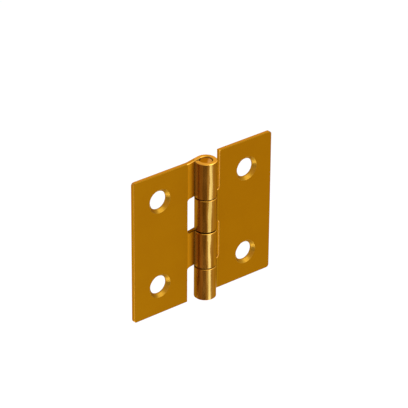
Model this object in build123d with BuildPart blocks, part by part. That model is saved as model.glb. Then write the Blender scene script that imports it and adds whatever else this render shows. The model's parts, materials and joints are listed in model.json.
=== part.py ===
from build123d import *
import os
from math import acos, atan2, degrees, hypot, radians, tan

# Small butt hinge of brass-plated sheet, drawn open and flat. The pin stands on Z with the origin
# at its middle, +X runs out along the right leaf, and -Y faces the countersunk side of the plates.

# Sheet and plates
leaf_height = 40.0
leaf_width = 22.2
sheet = 1.2
corner_radius = 0.8
edge_ease = 0.15

# Pin and barrel
pin_diameter = 3.3
pin_clearance = 0.05
pin_recess = 0.25
pin_chamfer = 0.15

# Plates are set forward of the barrel's back, so each neck slopes back from its bend to the roll
plate_set = 0.8
notch_line = 5.05
bend_inset = 0.2
bend_radius = 1.0
notch_radius = 0.6
seam_gap = 0.12

# Knuckles along the pin: the right leaf stands one leaf step higher than the left
left_knuckle = 10.2
knuckle_gap = 0.2
middle_gap = 0.35
leaf_step = 0.6

# Screw holes
hole_diameter = 5.1
countersink_diameter = 6.6
countersink_angle = 90.0
hole_offset = 14.0
hole_spacing = 24.4

# Sizes that follow from those above
bore_radius = pin_diameter / 2 + pin_clearance
barrel_radius = bore_radius + sheet
barrel_length = leaf_height - leaf_step
right_knuckle = (barrel_length - middle_gap - 2 * knuckle_gap - 2 * left_knuckle) / 2
roll_middle = bore_radius + sheet / 2
plate_middle = plate_set + sheet / 2
bend_line = notch_line - bend_inset

# Both leaves are drawn from the pin outwards, each with its own end knuckle at the low end:
# the left one is the right one turned end for end
right_side = Plane(origin=(0, 0, 0), x_dir=(1, 0, 0), z_dir=(0, 0, 1))
left_side = Plane(origin=(0, 0, 0), x_dir=(-1, 0, 0), z_dir=(0, 0, -1))


def pressed_leaf(side, knuckle):
    """One leaf: a plate whose two tabs slope back behind the pin and roll round it."""
    leaf_low = -barrel_length / 2
    leaf_middle = leaf_low + leaf_height / 2

    # The middle of the sheet runs along the plate, slopes back from the bend and joins the roll
    neck_angle = degrees(atan2(plate_middle, bend_line))
    neck_angle += degrees(acos(roll_middle / hypot(bend_line, plate_middle)))
    neck_end = Vector(roll_middle, 0).rotate(Axis.Z, neck_angle)

    # The roll's free end stops one seam short of the neck's front face
    seam_angle = neck_angle - degrees(acos((bore_radius - seam_gap) / barrel_radius))
    roll_sweep = 360 + seam_angle - neck_angle

    neck_slope = 90 - neck_angle
    bend_start = bend_line + (bend_radius + sheet / 2) * tan(radians(neck_slope / 2))

    outward = Axis((0, 0, 0), side.x_dir)
    front = Plane(origin=(0, 0, 0), x_dir=side.x_dir, z_dir=(0, -1, 0))
    tabs = (leaf_low + knuckle / 2, middle_gap / 2 + knuckle / 2)

    with BuildPart() as leaf:
        # Folded section, drawn along the pin
        with BuildSketch(side.offset(leaf_low)):
            with BuildLine():
                FilletPolyline(
                    (leaf_width, plate_middle),
                    (bend_line, plate_middle),
                    neck_end,
                    radius=bend_radius + sheet / 2,
                )
                CenterArc((0, 0), roll_middle, neck_angle, roll_sweep)
            trace(line_width=sheet)
        extrude(amount=leaf_height)

        # Blank outline seen from the front: plate, tabs for the knuckles, eased notch corners
        with BuildSketch(front) as outline:
            with Locations(((notch_line + leaf_width) / 2, leaf_middle)):
                Rectangle(leaf_width - notch_line, leaf_height)
            for tab in tabs:
                with Locations((notch_line, tab)):
                    Rectangle(notch_line + barrel_radius, knuckle, align=(Align.MAX, Align.CENTER))
            fillet(outline.vertices().group_by(Axis.X)[-1], corner_radius)
            notch_corners = outline.vertices().group_by(Axis.X)[1].sort_by(Axis.Y)
            fillet(notch_corners[:-1], notch_radius)
        extrude(amount=barrel_radius, both=True, mode=Mode.INTERSECT)

        # Sheared edges, eased along the front and back of the plate and on round the tabs
        plates = leaf.faces().filter_by(Axis.Y).sort_by(SortBy.AREA)[-2:]
        rim = plates.edges().filter_by_position(outward, (bend_start + notch_line) / 2, leaf_width)
        chamfer(rim, edge_ease)

        # Countersunk screw holes
        with Locations(front.offset(-plate_set)):
            with Locations((hole_offset, 0)):
                with GridLocations(0, hole_spacing, 1, 2):
                    CounterSinkHole(
                        hole_diameter / 2,
                        countersink_diameter / 2,
                        counter_sink_angle=countersink_angle,
                    )
    return leaf.part


left_leaf = pressed_leaf(left_side, left_knuckle)
left_leaf.label = "left_leaf"

right_leaf = pressed_leaf(right_side, right_knuckle)
right_leaf.label = "right_leaf"

# Plain round pin, its eased ends set back inside the barrel
with BuildPart() as hinge_pin:
    pin_length = barrel_length - 2 * pin_recess
    with BuildSketch(Plane.XY.offset(-pin_length / 2)):
        Circle(pin_diameter / 2)
    extrude(amount=pin_length)
    chamfer(hinge_pin.edges().filter_by(GeomType.CIRCLE), pin_chamfer)
hinge_pin.part.label = "hinge_pin"

os.makedirs("parts", exist_ok=True)
export_step(left_leaf, "parts/left_leaf.step")
export_step(right_leaf, "parts/right_leaf.step")
export_step(hinge_pin.part, "parts/hinge_pin.step")
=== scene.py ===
import json
import math

import bpy
from mathutils import Matrix, Vector


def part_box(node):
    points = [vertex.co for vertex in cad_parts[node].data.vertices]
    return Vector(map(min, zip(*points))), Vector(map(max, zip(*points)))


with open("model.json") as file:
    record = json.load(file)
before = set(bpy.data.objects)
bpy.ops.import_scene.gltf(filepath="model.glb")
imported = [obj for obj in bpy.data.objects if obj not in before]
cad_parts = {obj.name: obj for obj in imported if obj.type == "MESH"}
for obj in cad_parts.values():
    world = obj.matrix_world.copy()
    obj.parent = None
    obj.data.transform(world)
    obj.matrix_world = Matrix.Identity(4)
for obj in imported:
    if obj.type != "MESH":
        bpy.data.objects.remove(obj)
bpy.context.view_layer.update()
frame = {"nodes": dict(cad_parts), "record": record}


# Left leaf: one strip of sheet steel, blanked and notched in a press, its two tabs curled round the
# pin, then brass plated. The plate keeps an even satin, the curling die burnishes the knuckles, and
# the sheared edges and the countersinks come out paler and brighter than the plate, the sheared
# edges partly as painted highlight. Painted shade and painted highlights also lie on the necks,
# bends, creases, chamfers and nooks.
MM = 0.001
screws = next(mount for mount in frame["record"]["mounts"] if mount["name"] == "left_screws")
HOLE_OUT = abs(screws["pos_m"][0])
HOLE_UP = screws["dims"]["spacing_y_mm"] / 2 * MM
SINK_RADIUS = 3.3 * MM
BARREL_RADIUS = -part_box("left_leaf")[0].y
BEND_LINE = 4.85 * MM
CREVICE_REACH = 3.0 * MM
NOOK_REACH = 0.5 * MM

PLATE_GOLD = (0.331, 0.118, 0.001, 1.0)
PLATE_DEEP = (0.322, 0.113, 0.001, 1.0)
# Painted shade on the front of the neck, next to the barrel
NECK_SHADE = (0.300, 0.080, 0.001, 1.0)
# Painted light on the front of the bends: a highlight on the left leaf, shade on the right leaf
BEND_HIGHLIGHT = (0.490, 0.172, 0.002, 1.0)
BEND_SHADE = (0.300, 0.106, 0.001, 1.0)
ROLL_BRASS = (0.345, 0.135, 0.011, 1.0)
ROLL_DEEP = (0.255, 0.095, 0.006, 1.0)
# Painted shade on the knuckles where little light reaches them
CREASE_SHADE = (0.300, 0.135, 0.012, 1.0)
# Sheared faces and knuckle ends: a paler cut finish, brightened further as painted highlight
CUT_BRASS_AND_SHEEN = (0.440, 0.170, 0.005, 1.0)
END_BRASS_AND_SHEEN = (0.440, 0.175, 0.018, 1.0)
RING_BRASS_AND_SHEEN = (0.560, 0.240, 0.030, 1.0)
# Chamfers: painted highlight on those facing sideways, painted shade on those facing up or down
CHAMFER_HIGHLIGHT = (0.560, 0.232, 0.014, 1.0)
CHAMFER_SHADE = (0.240, 0.098, 0.002, 1.0)
# Painted highlight along the chamfers beside the notches
NOTCH_HIGHLIGHT = (0.960, 0.460, 0.045, 1.0)
SINK_BRASS = (0.410, 0.190, 0.010, 1.0)
# Painted shade in the nooks and on the ends of the tabs
NOOK_SHADE = (0.120, 0.032, 0.001, 1.0)
EDGE_GOLD = (0.85, 0.65, 0.42, 1.0)

# Heights of the relief are in millimetres
RING_PITCH = 0.16 * MM
RING_HEIGHT = 0.0001
GRAIN_HEIGHT = 0.0003
LINE_HEIGHT = 0.03
WAVE_HEIGHT = 0.60


class Wire:
    """One shader socket, so that sums on a surface read as plain arithmetic."""

    def __init__(self, tree, socket):
        self.tree = tree
        self.socket = socket

    def node(self, kind, settings=None, out=0, **inputs):
        """Add a node: its settings first, then the values or links of its sockets, by name or as i0, i1."""
        made = self.tree.nodes.new(kind)
        for name, value in (settings or {}).items():
            setattr(made, name, value)
        for name, value in inputs.items():
            numbered = name[0] == "i" and name[1:].isdigit()
            key = int(name[1:]) if numbered else name.replace("_", " ")
            if isinstance(value, Wire):
                self.tree.links.new(value.socket, made.inputs[key])
            else:
                made.inputs[key].default_value = value
        return Wire(self.tree, made.outputs[out])

    def feed(self, surface, name):
        """Link this value to a socket of the surface."""
        self.tree.links.new(self.socket, surface.inputs[name])

    def emboss(self, surface, unit):
        """Raise the surface by this value, a height in the given unit."""
        self.node("ShaderNodeBump", Strength=1.0, Distance=unit, Height=self).feed(surface, "Normal")

    def math(self, operation, other=0.0):
        """One step of arithmetic on this value."""
        return self.node("ShaderNodeMath", {"operation": operation}, i0=self, i1=other)

    def __add__(self, other):
        return self.math("ADD", other)

    __radd__ = __add__

    def __sub__(self, other):
        return self.math("SUBTRACT", other)

    def __rsub__(self, other):
        return self.node("ShaderNodeMath", {"operation": "SUBTRACT"}, i0=other, i1=self)

    def __mul__(self, other):
        return self.math("MULTIPLY", other)

    __rmul__ = __mul__

    def __abs__(self):
        return self.math("ABSOLUTE")

    def axes(self):
        """The three parts of a vector."""
        parts = self.node("ShaderNodeSeparateXYZ", i0=self).socket.node.outputs
        return [Wire(self.tree, part) for part in parts]

    def length_with(self, other):
        """Length of the hypotenuse over these two values."""
        return (self * self + other * other).math("SQRT")

    def step(self, low, high):
        """0 below low, 1 above high, eased between."""
        settings = {"interpolation_type": "SMOOTHSTEP"}
        return self.node("ShaderNodeMapRange", settings, Value=self, From_Min=low, From_Max=high)

    def mix(self, colour_a, colour_b):
        """Blend two colours by this value."""
        settings = {"data_type": "RGBA"}
        return self.node("ShaderNodeMix", settings, out=2, i0=self, i6=colour_a, i7=colour_b)

    def noise(self, scale, seed, stretch=(1.0, 1.0, 1.0)):
        """Soft random value at this place, with the pattern drawn out along the axes."""
        drawn = self.node("ShaderNodeVectorMath", {"operation": "MULTIPLY"}, i0=self, i1=stretch)
        settings = {"noise_dimensions": "4D"}
        return self.node("ShaderNodeTexNoise", settings, Vector=drawn, W=seed, Scale=scale)


def bare_plating(name):
    """New plating: its material and surface, and the place and facing of each point on the piece."""
    material = bpy.data.materials.new(name)
    material.use_nodes = True
    tree = material.node_tree
    surface = tree.nodes["Principled BSDF"]
    surface.inputs["Specular Tint"].default_value = EDGE_GOLD
    coordinates = tree.nodes.new("ShaderNodeTexCoord")
    place = Wire(tree, coordinates.outputs["Object"])
    facing = Wire(tree, coordinates.outputs["Normal"])
    return material, surface, place, facing


def leaf_plating(name, seed, end_shade, painted_bend):
    """Brass plating on one leaf, with painted shade and painted highlights: the number after the seed sets
    the painted shade on the ends of its tabs, and the colour after that is painted light on its bends.
    """
    material, surface, place, facing = bare_plating(name)
    x, y, z = place.axes()
    _, facing_y, facing_z = facing.axes()

    # Where each finish, painted highlight and painted shade lies: knuckles, countersinks, sheared edges and
    # their easing, necks and bends
    from_pin = x.length_with(y)
    from_hole = (abs(x) - HOLE_OUT).length_with(abs(z) - HOLE_UP)
    front = 1 - facing_y.step(-0.2, 0.4)
    end_face = abs(facing_z).step(0.4, 0.7)
    rolled = 1 - from_pin.step(BARREL_RADIUS + 0.03 * MM, BARREL_RADIUS + 0.20 * MM)
    sunk = front * (1 - from_hole.step(SINK_RADIUS - 0.02 * MM, SINK_RADIUS + 0.06 * MM))
    side_face = (1 - rolled) * (1 - abs(facing_y).step(0.80, 0.97))
    sheared = end_face.math("MAXIMUM", side_face) * (1 - sunk)
    eased = sheared * abs(facing_y).step(0.3, 0.6)
    notched = eased * (1 - abs(x).step(BEND_LINE + 0.3 * MM, BEND_LINE + 0.6 * MM))
    flat_face = (1 - rolled) * (1 - sheared)
    necked = flat_face * (1 - abs(x).step(BEND_LINE - 0.2 * MM, BEND_LINE + 0.2 * MM))
    bent = front * flat_face * (1 - abs(abs(x) - BEND_LINE).step(0.10 * MM, 0.45 * MM))

    # Painted shade lies where little light reaches: beside the other leaf, and in the leaf's own nooks
    crevice = place.node("ShaderNodeAmbientOcclusion", out=1, Distance=CREVICE_REACH)
    creased = rolled * (1 - end_face) * (1 - crevice.step(0.55, 0.9))
    nook = place.node("ShaderNodeAmbientOcclusion", {"only_local": True}, out=1, Distance=NOOK_REACH)
    shaded_ends = end_face * (1 - crevice.step(0.7, 0.98)) * (0.8 * rolled + end_shade * (1 - rolled))

    # Colour, each finish, painted highlight and painted shade laid over the one before
    colour = place.noise(scale=140.0, seed=seed).step(0.3, 0.7).mix(PLATE_DEEP, PLATE_GOLD)
    # The front of the neck darkens towards the barrel: painted shade where the barrel shades it
    neck_colour = abs(x).step(BARREL_RADIUS, BEND_LINE - 0.3 * MM).mix(NECK_SHADE, painted_bend)
    colour = (front * necked).mix(colour, neck_colour)
    # Painted highlight along the front of the left leaf's bend, painted shade along the right leaf's
    colour = bent.mix(colour, painted_bend)
    die_lines = place.noise(scale=1200.0, seed=seed + 6.0, stretch=(1.0, 1.0, 0.05))
    colour = rolled.mix(colour, die_lines.step(0.35, 0.60).mix(ROLL_DEEP, ROLL_BRASS))
    # Painted shade on the knuckles wherever little light reaches them, as in the crease by the neck
    colour = creased.mix(colour, CREASE_SHADE)
    # Sheared faces and knuckle ends: a paler cut finish, brightened further as painted highlight
    colour = sheared.mix(colour, end_face.mix(CUT_BRASS_AND_SHEEN, END_BRASS_AND_SHEEN))
    colour = (rolled * end_face).mix(colour, RING_BRASS_AND_SHEEN)
    # Painted highlight on the chamfers facing sideways, painted shade on those facing up or down
    colour = eased.mix(colour, abs(facing_z).step(0.3, 0.6).mix(CHAMFER_HIGHLIGHT, CHAMFER_SHADE))
    # Painted highlight along the chamfers beside the notches
    colour = notched.mix(colour, NOTCH_HIGHLIGHT)
    colour = sunk.mix(colour, SINK_BRASS)
    # Painted shade in the leaf's own nooks
    colour = nook.step(0.15, 0.6).mix(NOOK_SHADE, colour)
    # Painted shade on the end faces of the knuckles and tabs, beside the other leaf
    shaded_ends.mix(colour, NOOK_SHADE).feed(surface, "Base Color")

    # Gloss: bending and countersinking leave a duller face than rolling does
    roughness = 0.21 + 0.05 * place.noise(scale=420.0, seed=seed + 2.0)
    roughness = roughness - 0.02 * rolled + 0.33 * necked + 0.15 * (sunk + eased)
    roughness.feed(surface, "Roughness")
    metal = 0.70 + 0.22 * rolled + 0.15 * sunk + 0.30 * (sheared - eased)
    metal = metal - 0.35 * front * necked - 0.50 * creased
    metal.feed(surface, "Metallic")
    surface.inputs["Specular IOR Level"].default_value = 0.0

    # Relief: rolling grain on the sheet, tool rings in the countersinks, and on the knuckles die lines
    # and the shallow waves that curling leaves
    rolling_grain = place.noise(scale=5000.0, seed=seed + 4.0, stretch=(1.0, 1.0, 0.04))
    tool_rings = (from_hole * (2 * math.pi / RING_PITCH)).math("SINE")
    curl_waves = place.noise(scale=200.0, seed=seed + 8.0, stretch=(1.0, 1.0, 0.3)) - 0.5
    height = GRAIN_HEIGHT * rolling_grain * (1 - sunk) + RING_HEIGHT * tool_rings * sunk
    height = height + (LINE_HEIGHT * die_lines + WAVE_HEIGHT * curl_waves) * rolled
    height.emboss(surface, MM)
    return material


left_plating = leaf_plating("left_leaf_plating", seed=1.0, end_shade=1.0, painted_bend=BEND_HIGHLIGHT)
frame["nodes"]["left_leaf"].material_slots[0].material = left_plating


# Right leaf: the same pressing turned end for end, from the same plating bath. It turns on the pin.
# Less painted shade lies on the ends of its tabs, and its bends carry painted shade, not a highlight.
right_plating = leaf_plating("right_leaf_plating", seed=5.0, end_shade=0.3, painted_bend=BEND_SHADE)
frame["nodes"]["right_leaf"].material_slots[0].material = right_plating


# Hinge pin: drawn wire cropped to length, its ends eased, plated with the hinge and held by friction
# inside the knuckles. Drawing leaves fine lines along it, and cropping tears one side of each end,
# which is also painted bright there as a painted highlight.
MICRON = 0.001 * MM
PIN_BRASS = (0.380, 0.150, 0.010, 1.0)
PIN_END = (0.320, 0.100, 0.006, 1.0)
# Painted highlight on the side of the pin's end that cropping tears
PIN_TORN_GLINT = (0.700, 0.340, 0.090, 1.0)


def pin_plating(name, seed):
    """Brass plating over drawn wire with cropped ends."""
    material, surface, place, facing = bare_plating(name)
    x, y, _ = place.axes()
    _, _, facing_z = facing.axes()

    cropped = abs(facing_z).step(0.3, 0.8)
    torn_and_glint = (x - y).step(0.3 * MM, 1.2 * MM) * place.noise(scale=1500.0, seed=seed)
    # The cropped ends, with the side where cropping tears them painted bright as a painted highlight
    cropped.mix(PIN_BRASS, torn_and_glint.mix(PIN_END, PIN_TORN_GLINT)).feed(surface, "Base Color")
    (0.28 + 0.12 * cropped * torn_and_glint).feed(surface, "Roughness")
    drawn_lines = place.noise(scale=6000.0, seed=seed + 2.0, stretch=(1.0, 1.0, 0.02))
    height = drawn_lines * (1 - cropped) + 2.0 * torn_and_glint * cropped
    height.emboss(surface, MICRON)
    surface.inputs["Metallic"].default_value = 1.0
    return material


frame["nodes"]["hinge_pin"].material_slots[0].material = pin_plating("pin_plating", seed=9.0)


# Studio: a white floor well below the hinge and white all round. A cool strip lamp makes the bright
# line on the barrel, and soft lamps light the edges and the countersinks. A brown and a red card on
# the left give the barrel its deep side, and a tan one near the camera calms the countersinks.
FLOOR_DROP = 0.60
FLOOR_SIZE = 8.0
WHITE = (1.0, 1.0, 1.0, 1.0)
BLACK = (0.0, 0.0, 0.0, 1.0)
STRIP_BLUE = (0.46, 1.0, 4.2)
DAYLIGHT = (0.90, 1.08, 2.2)
PLAIN_WHITE = (1.0, 1.0, 1.0)
CARD_DISTANCE = 0.40
CARD_BROWN = (0.210, 0.140, 0.030, 1.0)
CARD_RED = (0.640, 0.480, 0.450, 1.0)
CARD_TAN = (0.85, 0.62, 0.50, 1.0)


def matt_paint(name, colour, glow=BLACK):
    """Paint with no shine at all, which glows unless its glow is black."""
    paint = bpy.data.materials.new(name)
    paint.use_nodes = True
    surface = paint.node_tree.nodes["Principled BSDF"]
    surface.inputs["Base Color"].default_value = colour
    surface.inputs["Roughness"].default_value = 1.0
    surface.inputs["Specular IOR Level"].default_value = 0.0
    surface.inputs["Emission Color"].default_value = glow
    surface.inputs["Emission Strength"].default_value = 1.0
    return paint


bpy.ops.object.select_all(action="DESELECT")
bpy.ops.mesh.primitive_plane_add(size=FLOOR_SIZE, location=(0, 0, -FLOOR_DROP))
floor = bpy.context.object
floor.name = "floor"
floor.data.materials.append(matt_paint("floor_white", WHITE))

room = bpy.data.worlds.new("white_room")
room.use_nodes = True
room.node_tree.nodes["Background"].inputs["Color"].default_value = WHITE
room.node_tree.nodes["Background"].inputs["Strength"].default_value = 1.0
bpy.context.scene.world = room


def direction(azimuth, elevation):
    """Unit vector: azimuth 0 is straight in front of the hinge, positive to its right."""
    a = math.radians(azimuth)
    e = math.radians(elevation)
    return Vector((math.sin(a) * math.cos(e), -math.cos(a) * math.cos(e), math.sin(e)))


def softbox(name, azimuth, elevation, distance, width, height, radiance, tint):
    """Area lamp facing the hinge, as bright as radiance says and of the colour of tint."""
    lamp = bpy.data.lights.new(name, "AREA")
    lamp.shape = "RECTANGLE"
    lamp.size = width
    lamp.size_y = height
    lamp.energy = radiance * math.pi * width * height
    lamp.color = tint
    made = bpy.data.objects.new(name, lamp)
    bpy.context.scene.collection.objects.link(made)
    towards = direction(azimuth, elevation)
    made.location = towards * distance
    made.rotation_euler = towards.to_track_quat("Z", "Y").to_euler()
    made.visible_camera = False


softbox("strip_lamp", azimuth=8.0, elevation=-30.0, distance=0.75,
        width=0.37, height=0.36, radiance=4.8, tint=STRIP_BLUE)
softbox("top_lamp", azimuth=140.0, elevation=40.0, distance=0.80,
        width=0.80, height=0.60, radiance=0.35, tint=PLAIN_WHITE)
softbox("front_lamp", azimuth=25.0, elevation=47.0, distance=0.80,
        width=0.70, height=0.28, radiance=2.9, tint=DAYLIGHT)
softbox("low_lamp", azimuth=-50.0, elevation=-51.0, distance=0.50,
        width=0.18, height=0.18, radiance=4.3, tint=DAYLIGHT)


def card(name, azimuth, elevation, width, height, glow):
    """Matt card facing the hinge, seen only in its reflections, where it shows the colour of glow."""
    bpy.ops.object.select_all(action="DESELECT")
    bpy.ops.mesh.primitive_plane_add(size=1.0, location=(0, 0, 0))
    made = bpy.context.object
    made.name = name
    towards = direction(azimuth, elevation)
    made.data.transform(
        Matrix.Translation(towards * CARD_DISTANCE)
        @ towards.to_track_quat("Z", "Y").to_matrix().to_4x4()
        @ Matrix.Diagonal((width, height, 1.0, 1.0))
    )
    made.data.materials.append(matt_paint(name + "_paint", BLACK, glow))
    made.visible_camera = False
    made.visible_diffuse = False
    made.visible_shadow = False


card("dark_card", azimuth=-50.0, elevation=-25.0, width=0.27, height=0.25, glow=CARD_BROWN)
card("red_card", azimuth=-90.0, elevation=-25.0, width=0.32, height=0.25, glow=CARD_RED)
card("tan_card", azimuth=-38.0, elevation=18.0, width=0.32, height=0.30, glow=CARD_TAN)


# Camera: a long lens about 0.6 m away, in front of the hinge, to its left and above it, turned and
# aimed to the photograph's frame.
VIEW_AZIMUTH = -39.206
VIEW_ELEVATION = 29.0
VIEW_ROLL = 0.455
VIEW_DISTANCE = 633.7 * MM
AIM_RIGHT = -0.361 * MM
AIM_UP = 6.139 * MM
LENS = 220.7
SENSOR_WIDTH = 36.0

back = direction(VIEW_AZIMUTH, VIEW_ELEVATION)
level = Vector((0, 0, 1)).cross(back).normalized()
roll = Matrix.Rotation(math.radians(VIEW_ROLL), 3, back)
right = roll @ level
up = back.cross(right)
camera = bpy.data.objects.new("camera", bpy.data.cameras.new("camera"))
bpy.context.scene.collection.objects.link(camera)
camera.data.lens = LENS
camera.data.sensor_width = SENSOR_WIDTH
spin = Matrix((right, up, back)).transposed().to_4x4()
camera.matrix_world = Matrix.Translation(back * VIEW_DISTANCE + right * AIM_RIGHT + up * AIM_UP) @ spin
bpy.context.scene.camera = camera
bpy.context.scene.view_settings.view_transform = "Standard"
